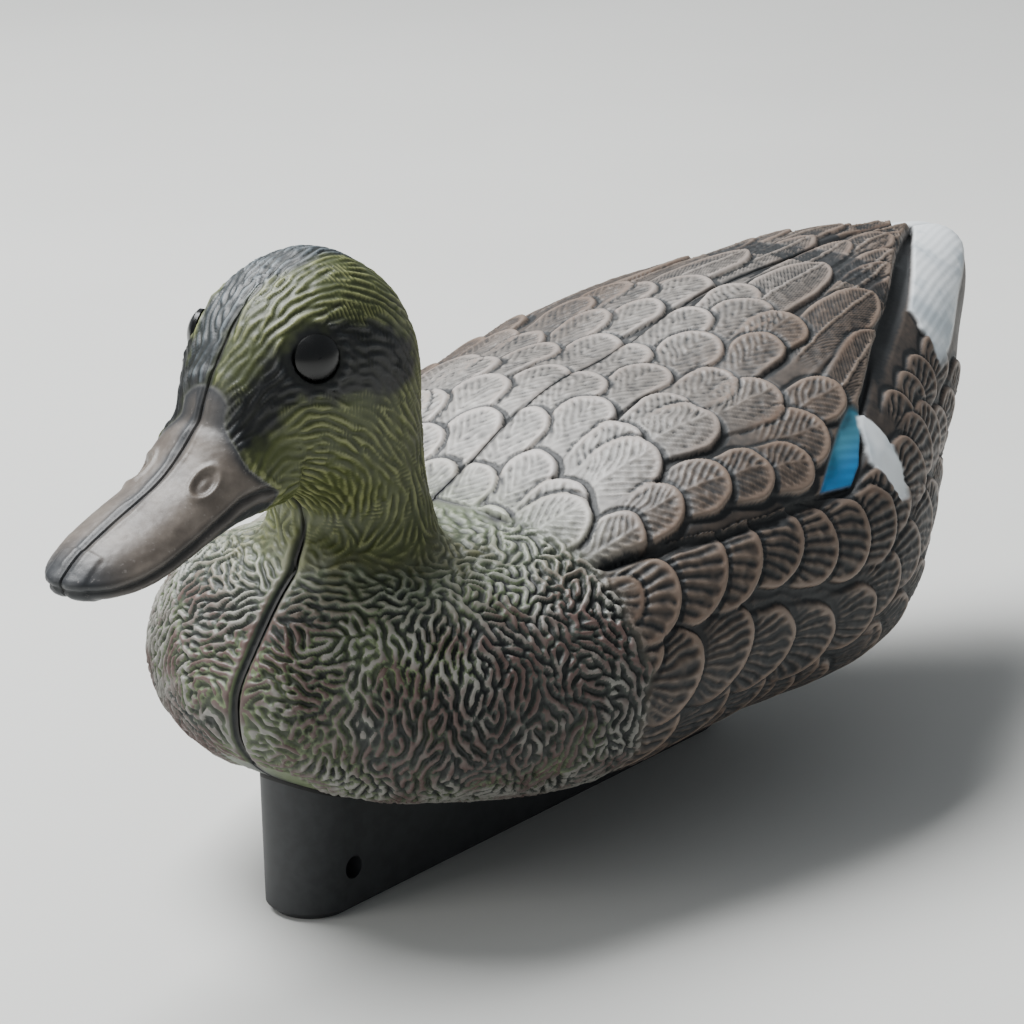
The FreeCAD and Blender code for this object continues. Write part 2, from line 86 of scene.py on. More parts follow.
def inside_polygon(x, z, corners):
    """Signed distance to a closed outline, positive inside."""
    inside = np.zeros(len(x), bool)
    far = np.full(len(x), 1e9)
    n = len(corners)
    for i in range(n):
        ax, az = corners[i]
        bx, bz = corners[(i + 1) % n]
        ex, ez = bx - ax, bz - az
        t = np.clip(((x - ax) * ex + (z - az) * ez) / (ex * ex + ez * ez), 0, 1)
        far = np.minimum(far, np.hypot(x - ax - t * ex, z - az - t * ez))
        crosses = (az > z) != (bz > z)
        if ez != 0:
            inside ^= crosses & (x < ax + (z - az) * ex / ez)
    return np.where(inside, far, -far)


def crown_mask(x, z):
    """1 on top of the head, where the two halves are flush."""
    return smooth(z, 147, 152) * smooth(x, 122, 114)


def near_fittings(points, eye_reach, fade):
    """1 at the eyes and the drain plug, whose seats keep their shape, falling to 0 over fade."""
    hold = np.zeros(len(points))
    for name, reach in (("left_eye", eye_reach), ("right_eye", eye_reach), ("drain_plug", DRAIN_REACH)):
        hold = np.maximum(hold, 1 - smooth(distance_to(points, name), reach, reach + fade))
    return hold


def distance_to(points, name):
    """Distance in millimetres from each point to the middle of a node's box."""
    low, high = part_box(name)
    return np.linalg.norm(points - np.array((low + high) / 2) / MM, axis=1)


# ---------------------------------------------------------------- the plain skin

DRAIN_REACH = 9.5
DRAIN_BLOCK = 10.0
DRAIN_BLOCK_RADIUS = 5.4
DRAIN_BLOCK_FOOT = 7.5
SEEN_REACH = 0.8
RAYS = 30
RAY_TURN = 2.4
SOFTEN_STEPS = 46
SOFTEN_BILL_STEPS = 10


def joined_mesh():
    """The two shells moved together until they meet at y = 0, with the drain bore blocked, and a search tree
    of the faces that can be seen from outside."""
    bm = bmesh.new()
    for side, shift in (("left_shell", -SEAM_HALF), ("right_shell", SEAM_HALF)):
        part = bpy.data.meshes.new(side + "_copy")
        single = bmesh.new()
        single.from_mesh(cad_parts[side].data)
        bmesh.ops.translate(single, verts=single.verts, vec=(0, shift * MM, 0))
        single.to_mesh(part)
        single.free()
        bm.from_mesh(part)
        bpy.data.meshes.remove(part)
    low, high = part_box("drain_plug")
    middle = (low + high) / 2
    block = DRAIN_BLOCK * MM
    radius = DRAIN_BLOCK_RADIUS * MM
    foot = high.z - DRAIN_BLOCK_FOOT * MM
    bmesh.ops.create_cone(
        bm, cap_ends=True, segments=48, radius1=radius, radius2=radius, depth=block,
        matrix=Matrix.Translation((middle.x, middle.y - SEAM_HALF * MM, foot + block / 2)))
    mesh = bpy.data.meshes.new("joined")
    bm.to_mesh(mesh)
    bmesh.ops.delete(bm, geom=hidden_faces(bm), context="FACES_ONLY")
    outside = BVHTree.FromBMesh(bm)
    bm.free()
    return mesh, outside


def hidden_faces(bm):
    """Faces from which nothing outside is seen: the hollow's walls and the faces where the halves meet."""
    tree = BVHTree.FromBMesh(bm)
    rays = []
    for i in range(RAYS):
        height = 1 - (2 * i + 1) / RAYS
        level = math.sqrt(1 - height * height)
        rays.append(Vector((level * math.cos(RAY_TURN * i), level * math.sin(RAY_TURN * i), height)))
    hidden = []
    for face in bm.faces:
        normal = face.normal
        start = face.calc_center_median() + normal * 0.05 * MM
        tries = [normal] + [ray for ray in rays if ray.dot(normal) > 0.05]
        if all(tree.ray_cast(start, ray)[0] is not None for ray in tries):
            hidden.append(face)
    return hidden


def remeshed(mesh, outside):
    """Vertices in millimetres and quads of the outer surface, evenly spaced."""
    obj = bpy.data.objects.new("joined", mesh)
    bpy.context.scene.collection.objects.link(obj)
    modifier = obj.modifiers.new("even", "REMESH")
    modifier.mode = "VOXEL"
    modifier.voxel_size = VOXEL
    graph = bpy.context.evaluated_depsgraph_get()
    result = obj.evaluated_get(graph).to_mesh()
    points = np.zeros(len(result.vertices) * 3, np.float32)
    result.vertices.foreach_get("co", points)
    points = points.reshape(-1, 3).astype(float) / MM
    loops = np.zeros(len(result.loops), int)
    result.loops.foreach_get("vertex_index", loops)
    starts = np.zeros(len(result.polygons), int)
    sizes = np.zeros(len(result.polygons), int)
    result.polygons.foreach_get("loop_start", starts)
    result.polygons.foreach_get("loop_total", sizes)
    quads = np.array([loops[starts + np.minimum(k, sizes - 1)] for k in range(4)]).T
    obj.evaluated_get(graph).to_mesh_clear()
    bpy.data.objects.remove(obj)
    bpy.data.meshes.remove(mesh)
    reach = SEEN_REACH * MM
    near = np.array([outside.find_nearest(p, reach)[0] is not None for p in (points * MM).tolist()])
    return outer_part(points, quads[near[quads].all(1)])


def outer_part(points, quads):
    """Only the connected surface that holds the furthest point."""
    label = np.arange(len(points))
    while True:
        low = label[quads].min(1)
        new = label.copy()
        for k in range(4):
            np.minimum.at(new, quads[:, k], low)
        new = new[new]
        if (new == label).all():
            break
        label = new
    root = label[np.argmax(points[:, 0])]
    keep = label == root
    number = np.cumsum(keep) - 1
    return points[keep], number[quads[keep[quads[:, 0]]]]


class Skin:
    """Vertices, neighbours and normals of the surface, in millimetres."""

    def __init__(self, points, quads):
        self.p = points
        self.quads = quads
        pairs = np.vstack([quads[:, [k, (k + 1) % 4]] for k in range(4)])
        pairs = pairs[pairs[:, 0] < pairs[:, 1]]
        self.a, self.b = pairs[:, 0], pairs[:, 1]
        self.count = np.bincount(self.a, minlength=len(points)) + np.bincount(self.b, minlength=len(points))
        self.count = np.maximum(self.count, 1)

    def spread(self, value):
        """The mean of each vertex's neighbours."""
        n = len(self.p)
        if value.ndim == 2:
            return np.stack([self.spread(value[:, k]) for k in range(value.shape[1])], 1)
        total = np.bincount(self.a, value[self.b], n) + np.bincount(self.b, value[self.a], n)
        return total / self.count

    def blurred(self, value, times):
        for _ in range(times):
            value = 0.5 * value + 0.5 * self.spread(value)
        return value

    def normals(self):
        p, q = self.p, self.quads
        face = np.cross(p[q[:, 2]] - p[q[:, 0]], p[q[:, 3]] - p[q[:, 1]])
        out = np.zeros_like(p)
        for k in range(4):
            for axis in range(3):
                out[:, axis] += np.bincount(q[:, k], face[:, axis], len(p))
        return out / np.maximum(np.linalg.norm(out, axis=1, keepdims=True), 1e-12)


def soften(skin):
    """Rounds off facets and creases away from the eye seats and the drain."""
    free = (1 - near_fittings(skin.p, 7.4, 2.5))[:, None]
    x, z = skin.p[:, 0], skin.p[:, 2]
    bill = smooth(x, 128, 138) * smooth(z, 100, 106)
    for step in range(SOFTEN_STEPS):
        amount = free if step < SOFTEN_BILL_STEPS else free * (1 - bill)[:, None]
        skin.p = skin.p + amount * 0.8 * (skin.spread(skin.p) - skin.p)


# ---------------------------------------------------------------- the girth chart

AXIS_X = (-182, -150, -110, -60, 0, 60, 110, 126)
AXIS_Z = (113, 107, 92, 74, 62, 58, 60, 62)
CELL_X = 3.0
CELLS_X = 123
CELLS_TURN = 91


def smoothed_row(row, kernel):
    return np.convolve(np.pad(row, 2, mode="edge"), kernel, "valid")


def girth(points):
    """Distance in millimetres from the back seam, round the body, at each point."""
    x = points[:, 0]
    y = np.abs(points[:, 1])
    rise = points[:, 2] - np.interp(x, AXIS_X, AXIS_Z)
    turn = np.arctan2(y, rise)
    row = np.clip(((x + 184) / CELL_X).astype(int), 0, CELLS_X - 1)
    col = np.clip((turn / np.pi * (CELLS_TURN - 1) + 0.5).astype(int), 0, CELLS_TURN - 1)
    reach = np.zeros((CELLS_X, CELLS_TURN))
    np.maximum.at(reach, (row, col), np.hypot(y, rise))
    for i in range(CELLS_X):
        known = reach[i] > 0
        if known.sum() > 2:
            reach[i] = np.interp(np.arange(CELLS_TURN), np.nonzero(known)[0], reach[i][known])
    kernel = np.array([1, 2, 3, 2, 1]) / 9
    for axis in (1, 0):
        reach = np.apply_along_axis(smoothed_row, axis, reach, kernel)
    angles = np.linspace(0, np.pi, CELLS_TURN)
    steps = np.hypot(np.diff(reach * np.sin(angles), axis=1), np.diff(reach * np.cos(angles), axis=1))
    length = np.concatenate([np.zeros((CELLS_X, 1)), np.cumsum(steps, axis=1)], 1)
    fx = np.clip((x + 184) / CELL_X - 0.5, 0, CELLS_X - 1.001)
    ft = np.clip(turn / np.pi * (CELLS_TURN - 1), 0, CELLS_TURN - 1.001)
    i, j = fx.astype(int), ft.astype(int)
    s, t = fx - i, ft - j
    return ((1 - s) * (1 - t) * length[i, j] + s * (1 - t) * length[i + 1, j]
            + (1 - s) * t * length[i, j + 1] + s * t * length[i + 1, j + 1])


# ---------------------------------------------------------------- feathers

# Each row: first tip (x, v), last tip (x, v), how many, length, half width, direction in degrees at
# each end (0 points to the tail, 90 down the flank), kind, rise of the tip in millimetres.
ROWS = [
    # long feathers over the tail
    ((-160, 3), (-150, 11), 2, 60, 6.5, -2, -10, "long", 1.9),
    ((-142, 9), (-130, 19), 2, 62, 7.5, -6, -14, "long", 2.0),
    ((-118, 31), (-118, 31), 1, 66, 8, -18, -18, "long", 2.0),
    ((-104, 13), (-104, 13), 1, 62, 11, -4, -4, "long", 2.2),
    ((-100, 33), (-100, 33), 1, 58, 11, -15, -15, "long", 2.3),
    ((-84, 47), (-84, 47), 1, 44, 8, -22, -22, "long", 1.9),
    ((-124, 5), (-121, 23), 2, 58, 8, -4, -12, "long", 1.9),
    # back, from the seam down to the wing edge
    ((60, 6), (-76, 6), 7, 36, 9.4, 4, -4, "soft", 1.6),
    ((46, 20), (-66, 18), 6, 36, 9.6, 6, -6, "soft", 1.8),
    ((50, 33), (-52, 33), 6, 32, 9.6, 10, -4, "soft", 1.9),
    ((34, 40), (-36, 46), 4, 31, 11, 22, 6, "barb", 2.2),
    ((-50, 57), (-50, 57), 1, 27, 9, 8, 8, "barb", 2.0),
    ((31, 55), (-22, 70), 5, 24, 9.6, 24, 18, "barb", 2.3),
    ((-37, 65), (-37, 65), 1, 30, 12, 16, 16, "barb", 2.4),
    ((-66, 30), (-66, 30), 1, 34, 10, -4, -4, "barb", 1.9),
    # flank
    ((44, 68), (44, 68), 1, 20, 8, 30, 30, "fan", 1.7),
    ((33, 75), (-31, 96), 6, 29, 13, 34, 26, "fan", 2.5),
    ((-44, 95), (-95, 72), 5, 27, 11, 8, -26, "fan", 2.0),
    ((44, 82), (44, 82), 1, 18, 8, 30, 30, "fan", 1.7),
    ((34, 94), (-16, 119), 4, 27, 12.5, 32, 26, "fan", 2.2),
    ((-32, 117), (-100, 90), 6, 25, 11, 14, -24, "fan", 1.9),
    ((40, 108), (-10, 138), 4, 25, 12, 30, 24, "fan", 1.7),
    ((-26, 137), (-104, 108), 6, 25, 11, 12, -20, "fan", 1.7),
    ((34, 126), (-90, 134), 8, 24, 11, 20, -12, "fan", 1.2),
    # rump and under the tail
    ((-78, 66), (-118, 52), 4, 20, 8, -24, -32, "fan", 1.5),
    ((-108, 74), (-134, 60), 3, 20, 8, -24, -32, "fan", 1.5),
    ((-112, 90), (-150, 66), 4, 22, 8, -20, -30, "fan", 1.4),
    ((-118, 104), (-156, 78), 4, 21, 8, -18, -28, "fan", 1.3),
    ((-116, 120), (-160, 90), 5, 20, 8, -14, -26, "fan", 1.2),
]


def feather_list(side):
    """Every feather of one side as (tip x, tip v, angle, length, half width, kind, rise, random)."""
    rng = np.random.default_rng(11 + side)
    out = []
    for first, last, count, length, half, angle0, angle1, kind, rise in ROWS:
        for i in range(count):
            t = i / max(count - 1, 1)
            jog = rng.uniform(-1, 1, 5)
            if kind == "soft":
                jog *= 1.9
            out.append((
                first[0] + (last[0] - first[0]) * t + 1.3 * jog[0],
                first[1] + (last[1] - first[1]) * t + 1.0 * jog[1],
                math.radians(angle0 + (angle1 - angle0) * t + 4 * jog[2]),
                length * (1 + 0.06 * jog[3]),
                half * (1 + 0.06 * jog[4]),
                kind, rise, rng.uniform(0, 1)))
    return out


def lay_feathers(x, v, noise, rough, wing):
    """Height, rim, barbs and shadow at each chart point; higher feathers overlap those behind."""
    n = len(x)
    top = np.full(n, -1.0)
    rim = np.zeros(n)
    barbs = np.zeros(n)
    shade = np.zeros(n)
    bands = []
    order = np.argsort(x)
    xs = x[order]
    for side in (0, 1):
        for tx, tv, angle, length, half, kind, rise, pick in feather_list(side):
            i0, i1 = np.searchsorted(xs, (tx - half, tx + length + half))
            ids = order[i0:i1]
            ids = ids[(np.abs(v[ids] - tv) < length + half) & (SIDE_OF[ids] == side)]
            ids = ids[(wing[ids] < 0.3) if kind == "fan" else (wing[ids] > -0.8)]
            if len(ids) == 0:
                continue
            px = x[ids] + 0.5 * noise[ids]
            pv = v[ids] + 0.5 * noise[ids]
            dx, dv = -math.cos(angle), math.sin(angle)
            s = (px - tx) * dx + (pv - tv) * dv + length
            w = (px - tx) * -dv + (pv - tv) * dx
            taper = half * (0.72 + 0.28 * np.clip(s / length, 0, 1))
            if kind == "long":
                reach = 2.6 * half
                ahead = np.clip((s - (length - reach)) / reach, 0, 1.2)
                inset = taper * np.sqrt(np.clip(1 - ahead ** 2, 0, 1)) - np.abs(w)
                inset = np.where(s > length, -1, inset)
            else:
                ahead = np.maximum(s - (length - half), 0)
                inset = taper - np.hypot(w, ahead)
            t = np.clip(s / length, 0, 1)
            lift = rise * t ** 0.9 - 0.3 * (w / half) ** 2
            height = lift * smooth(inset, -0.2, 0.8)
            ridge = 0.25 * bell(inset - 1.3, 1.0)
            start = smooth(t, 0.05, 0.2) if kind == "long" else smooth(t, 0.2, 0.45)
            fade = smooth(inset, 1.2, 2.6) * start
            if kind == "fan":
                turn = np.arctan2(w, s + 0.1 * length)
                wave = np.cos(turn * (48 + 8 * pick) * length / 27 + 4.0 * noise[ids])
            elif kind == "barb":
                wave = np.cos(2 * np.pi * (s - 1.15 * np.abs(w) + 1.6 * noise[ids]) / 2.7)
                wave = np.maximum(wave, 1.1 * bell(w, 0.6))
            elif kind == "long":
                wave = 0.6 * np.cos(2 * np.pi * (s - 1.6 * np.abs(w)) / 1.9)
                wave = np.where(np.abs(w) < 0.5, 1.5, wave)
            else:
                wave = 0.45 * np.cos(2 * np.pi * (s - 1.3 * np.abs(w) + 1.5 * noise[ids]) / 3.0)
            wave = wave + 0.7 * rough[ids]
            height = height + ridge + 0.27 * wave * fade
            better = (inset > 0) & (s > 0) & (height > top[ids])
            chosen = ids[better]
            top[chosen] = height[better]
            rim[chosen] = (bell(inset - 1.2, 1.2) * smooth(t, 0.3, 0.7))[better]
            barbs[chosen] = (wave * fade)[better]
            beside = (inset <= 0.2) & (inset > -2.6) & (t > 0.3)
            bands.append((ids[beside], (lift * smooth(inset, -2.6, 0))[beside]))
    for ids, step in bands:
        shade[ids] = np.maximum(shade[ids], smooth(step - np.maximum(top[ids], 0) * 0.6, 0.0, 0.7))
    return np.maximum(top, 0), rim, barbs, shade


# ---------------------------------------------------------------- worm-like ridges

def worms(skin, where, flow, fine, coarse, seed, steps, stretch):
    """Wavy rounded ridges that follow flow on the vertices in where, from -1 to 1. Their spacing lies between
    the fine and coarse numbers of smoothing passes, and stretch lengthens them."""
    index = np.nonzero(where)[0]
    number = np.full(len(skin.p), -1)
    number[index] = np.arange(len(index))
    n = len(index)
    p = skin.p[index]

    def links(pairs):
        pairs = number[pairs]
        pairs = pairs[(pairs >= 0).all(1)]
        return pairs[:, 0], pairs[:, 1]

    a, b = links(np.stack([skin.a, skin.b], 1))
    count = np.maximum(np.bincount(a, minlength=n) + np.bincount(b, minlength=n), 1)
    q = skin.quads
    c, d = links(np.vstack([np.stack([skin.a, skin.b], 1), q[:, [0, 2]], q[:, [1, 3]]]))
    step = p[d] - p[c]
    step /= np.maximum(np.linalg.norm(step, axis=1, keepdims=True), 1e-9)
    weight = np.abs((step * flow[index][c]).sum(1)) ** 8
    total = np.bincount(c, weight, n) + np.bincount(d, weight, n) + 0.05

    def blur(h, times):
        for _ in range(times):
            h = 0.5 * h + 0.5 * (np.bincount(a, h[b], n) + np.bincount(b, h[a], n)) / count
        return h

    h = np.random.default_rng(seed).uniform(-1, 1, n)
    for _ in range(steps):
        near = blur(h, fine)
        h = near - blur(near, coarse - fine)
        h = np.clip(1.5 * h / h.std(), -1, 1)
        for _ in range(stretch):
            h = (np.bincount(c, weight * h[d], n) + np.bincount(d, weight * h[c], n) + 0.05 * h) / total
    out = np.zeros(len(skin.p))
    out[index] = np.clip(1.1 * h / h.std(), -1.3, 1.3)
    return out


# ---------------------------------------------------------------- where each part of the duck is

BILL_BASE_Z = (108, 118, 121, 124.8, 127.8, 130.5, 134.4, 138.7, 141.7, 145)
BILL_BASE_X = (127, 126.5, 126, 130.8, 133.6, 134.3, 133.8, 132.2, 131.0, 130.5)
MOUTH_X = (120, 124, 131, 137, 143.3, 150.4, 157, 163.7, 169.6, 176, 182)
MOUTH_Z = (120.6, 121.3, 122.3, 121.2, 118.2, 115.4, 113.4, 111.3, 109.8, 108.6, 108.4)
EYE_PATCH = [
    (136, 137), (129, 146), (122, 152), (113, 159), (101, 158), (92, 154), (81, 148),
    (81, 139), (95, 138.5), (106, 140.5), (114, 142), (118, 142), (122, 139), (126, 134), (134, 131),
]
WING_X = (-165, -148, -125, -104, -80, -66, -55, -45, -32, -22, -10, 0, 16, 34, 46, 50)
WING_V = (0, 9, 22, 35, 48, 57, 63, 73, 80, 79, 77, 76, 71, 60, 53, 50)
SPECULUM = [
    (-20.5, 78), (-33, 81.5), (-40, 78), (-46, 72), (-52, 66),
    (-50, 63), (-42, 66), (-33, 70.5), (-26, 74.5),
]
WHITE_BAR = [
    (-43, 79), (-45, 75), (-50, 66), (-53, 67), (-56.5, 75),
    (-56.5, 84), (-54, 92), (-49.5, 92), (-47, 85),
]
NOSTRIL = (143.7, 10.1, 126.4)
THROAT = (118.0, 105.0)


def regions(p, v):
    """Soft masks from 0 to 1 for the parts of the duck."""
    x, y, z = p[:, 0], p[:, 1], p[:, 2]
    wobble = lattice_noise(p, 7.0, 5)
    fine = lattice_noise(p, 2.2, 6)
    r = {}
    base = np.interp(z, BILL_BASE_Z, BILL_BASE_X)
    r["bill_inset"] = np.where((z > 104) & (x > 100), x - base, -50.0)
    r["bill"] = smooth(r["bill_inset"], -0.35, 0.35)
    neck_line = 93 + 3.0 * wobble + 2.0 * fine + 5.0 * smooth(x, 60, 30)
    r["head"] = smooth(z - neck_line, -4, 5) * smooth(x, 58, 66) * (1 - r["bill"])
    patch = inside_polygon(x, z, EYE_PATCH) + 1.6 * fine + 1.2 * wobble
    r["patch"] = smooth(patch, -2.6, 1.8) * r["head"]
    near_edge = np.interp(x, (60, 88, 102, 112, 133), (3, 7.5, 4.5, 0.5, -0.5))
    far_edge = np.interp(x, (60, 88, 102, 118, 133), (-9, -14, -14.5, -13, -9))
    stripe = np.minimum(near_edge - y, y - far_edge) + 1.2 * wobble + 1.0 * fine
    r["crown"] = smooth(stripe, -1.2, 1.5) * r["head"] * smooth(z, 138, 146) * smooth(x, 64, 78)
    r["body"] = (1 - r["head"]) * (1 - r["bill"])
    line = 48 + 4.0 * wobble + np.interp(v, (0, 40, 55, 70, 110, 150), (6, 0, 0, 2, 4, -6))
    r["breast"] = r["body"] * smooth(x - line, -3, 3)
    r["wing_inset"] = np.interp(x, WING_X, WING_V, left=-5) - v
    r["wing_inset"] = np.where(x > 50, -30, r["wing_inset"])
    tail_line = np.interp(x, (-182, -163, -104, -98), (-12, 2, 44, 60))
    r["white_inset"] = np.minimum(v - tail_line, -110 - x + 1.5 * fine)
    r["white"] = smooth(r["white_inset"], -0.2, 1.6) * smooth(z, 97, 103)
    r["white"] = r["white"] * (1 - smooth(v - tail_line, 20, 25)) * r["body"]
    r["blue"] = smooth(inside_polygon(x, v, SPECULUM), -0.8, 0.8) * r["body"]
    r["bar"] = smooth(inside_polygon(x, v, WHITE_BAR) + 0.5 * fine, -0.7, 0.9) * r["body"]
    return r


# ---------------------------------------------------------------- relief and paint masks

def head_flow(p, normal):
    """Directions of the fine ridges: arcs about the throat on the head, round the body on the breast."""
    rel = p - np.array([THROAT[0], 0, THROAT[1]])
    arc = np.stack([rel[:, 2], np.zeros(len(p)), -rel[:, 0]], 1)
    arc /= np.maximum(np.linalg.norm(arc, axis=1, keepdims=True), 1e-6)
    down = np.stack([np.zeros(len(p)), np.zeros(len(p)), np.ones(len(p))], 1)
    out = arc * smooth(p[:, 2], 92, 104)[:, None]
    side = smooth(np.abs(p[:, 1]), 8, 40)[:, None]
    across = np.sign(p[:, 1]) * (1.0 - 0.4 * smooth(np.abs(p[:, 1]), 10, 50))
    ring = np.stack([0.15 * np.ones(len(p)), across, np.zeros(len(p))], 1)
    body = ring * (1 - side) + down * side
    out = out + body * (1 - smooth(p[:, 2], 92, 104))[:, None]
    wander = lattice_noise(p, 6.0, 21)
    bend = np.stack([lattice_noise(p, 6.0, 22), wander, lattice_noise(p, 6.0, 23)], 1)
    out = out + (0.95 - 0.6 * smooth(p[:, 2], 95, 112))[:, None] * bend
    out -= (out * normal).sum(1, keepdims=True) * normal
    return out / np.maximum(np.linalg.norm(out, axis=1, keepdims=True), 1e-6)


def relief(skin):
    """Height of the moulded detail at each vertex, and the masks that drive the paint."""
    p, normal = skin.p, skin.normals()
    x, y, z = p.T
    v = girth(p)
    r = regions(p, v)
    wobble = lattice_noise(p, 5.0, 31)
    rough = lattice_noise(p, 1.6, 33)
    lift, rim, barbs, shade = lay_feathers(x, v, wobble, rough, r["wing_inset"])
    feathered = r["body"] * (1 - r["breast"]) * (1 - r["white"]) * (1 - r["blue"]) * (1 - r["bar"])
    fade_low = 1 - 0.8 * smooth(v, 128, 150)
    wing_layer = smooth(r["wing_inset"], -0.6, 0.8)
    rear = smooth(x, -62, -90)
    behind = -r["wing_inset"]
    shelf = smooth(behind, 0.2, 1.4) * (1 - smooth(behind, 5.5, 9.0)) * (1 - r["white"])
    gap = (bell(behind - 1.5, 1.7) * (1 - rear) + shelf * rear) * smooth(x, 49, 44)
    body_height = lift * fade_low * (0.9 + 0.1 * wing_layer)
    worm_zone = (r["breast"] + r["head"] * (1 - r["bill"]) > 0.02) & (z > 15)
    flow = head_flow(p, normal)
    scale = (0.55 * MM / VOXEL) ** 2
    breast_passes = max(round(4 * scale), 1), max(round(11 * scale), 3)
    hair_passes = max(round(2 * scale), 1), max(round(6 * scale), 3)
    coarse = worms(skin, worm_zone & (z < 108), flow, *breast_passes, 41, 3, 1)
    hair = worms(skin, worm_zone & (z > 84), flow, *hair_passes, 43, 4, 3)
    near_neck = smooth(z, 80, 98) * smooth(x, 40, 60)
    coarse = coarse + 0.45 * lattice_noise(p, 2.4, 35) + 0.3 * lattice_noise(p, 7.0, 36)
    breast_height = coarse * (0.66 - 0.3 * near_neck) * (0.8 + 0.3 * lattice_noise(p, 9.0, 37))
    hair = hair * (0.75 + 0.5 * lattice_noise(p, 4.5, 39)) + 0.5 * lattice_noise(p, 2.2, 38)
    hair_height = 0.24 * hair * (1 - 0.35 * smooth(np.abs(y), 26, 16) * smooth(x, 110, 125))
    neck_mix = smooth(z, 88, 100)
    height = feathered * (body_height - 0.5 - 0.3 * shade)
    height += r["breast"] * (breast_height * (1 - neck_mix) + hair_height * neck_mix)
    height += r["head"] * hair_height * neck_mix + r["head"] * (1 - neck_mix) * breast_height
    height += feathered * 1.1 * wing_layer * smooth(x, 50, 36) * (1 - smooth(r["wing_inset"], 8, 26))
    height -= feathered * (1.7 - 0.4 * rear) * gap
    height += (r["blue"] * (0.06 * np.cos(2 * np.pi * (v + 0.4 * x) / 3.0) - 0.6))
    height += r["bar"] * (0.1 + 0.2 * wobble)
    height += r["white"] * (0.5 + 0.05 * np.cos(2 * np.pi * (v - 0.4 * x) / 2.6))
    bill_height, groove = bill_relief(p, normal, r)
    height = height * (1 - r["bill"]) + bill_height * r["bill"]
    feather_edge = bell(r["bill_inset"] + 1.3, 1.3) * (z > 104) * (x > 100)
    height += 0.55 * feather_edge
    seam = np.abs(y)
    front = smooth(x, 92, 104) * (1 - smooth(z, 96, 103))
    lips = bell(seam - 2.0, 1.3) * front
    crown = crown_mask(x, z)
    trough = (0.35 + 0.9 * front) * bell(seam, 0.8 + 0.5 * front) * (1 - crown)
    calm = 1 - 0.85 * bell(seam, 2.0 + 1.6 * front) * (front + 0.35 * (1 - crown))
    height = height * calm - trough + 0.45 * lips
    for name in ("left_eye", "right_eye"):
        height += 0.5 * bell(distance_to(p, name) - 8.6, 1.3)
    height *= 1 - near_fittings(p, 6.9, 2.2)
    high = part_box("sealing_strip")[1]
    near_keel = smooth(np.abs(y), high.y / MM + 3, high.y / MM) * (z < 45)
    height *= 1 - near_keel
    masks = dict(r)
    masks.update(
        rim=rim * feathered, barbs=barbs * feathered, shade=shade * feathered, v=v,
        gap=gap * feathered, groove=groove * r["bill"], feathered=feathered,
        seam=bell(seam, 0.55 + 0.6 * front) * (1 - crown))
    return height, masks


def bill_relief(p, normal, r):
    """Mouth groove, lips, nostrils, nail and worn step beside the seam on the bill."""
    x, y, z = p.T
    side = smooth(np.abs(y), 3, 7)
    mouth = z - np.interp(x, MOUTH_X, MOUTH_Z)
    front = smooth(x, 171, 176)
    groove = bell(mouth, 0.75) * np.maximum(side, front) * smooth(x, 122, 126)
    lip = bell(mouth - 1.9, 1.1) * np.maximum(side, front) * 0.35
    under = bell(mouth + 2.0, 1.3) * np.maximum(side, front) * 0.3
    d = p - np.array([NOSTRIL[0], 0, NOSTRIL[2]])
    d[:, 1] = np.abs(p[:, 1]) - NOSTRIL[1]
    d -= (d * normal).sum(1, keepdims=True) * normal
    slope = np.array([0.86, 0, -0.5])
    run = d @ slope
    across = np.sqrt(np.maximum((d * d).sum(1) - run ** 2, 0))
    oval = np.hypot(run / 1.7, across)
    nostril = 0.5 * bell(oval - 2.9, 0.7) - 0.75 * smooth(2.9 - oval, 0, 1.3)
    nostril += 0.2 * smooth(1.1 - oval, 0, 0.9)
    nail = 0.35 * smooth(x, 173.5, 174.6) * smooth(6.5 - np.abs(y), 0, 1.2)
    base = 0.3 * bell(r["bill_inset"] - 3.0, 2.0)
    pores = 0.05 * lattice_noise(p, 1.1, 61) + 0.08 * lattice_noise(p, 4.0, 62)
    step = 0.3 * bell(np.abs(y) - 1.5 - 0.8 * lattice_noise(p, 5.0, 63), 0.7) * smooth(mouth, 3, 6)
    return nostril + lip + under + nail + base + pores + step - 0.9 * groove, groove


# ---------------------------------------------------------------- turning the field into pieces

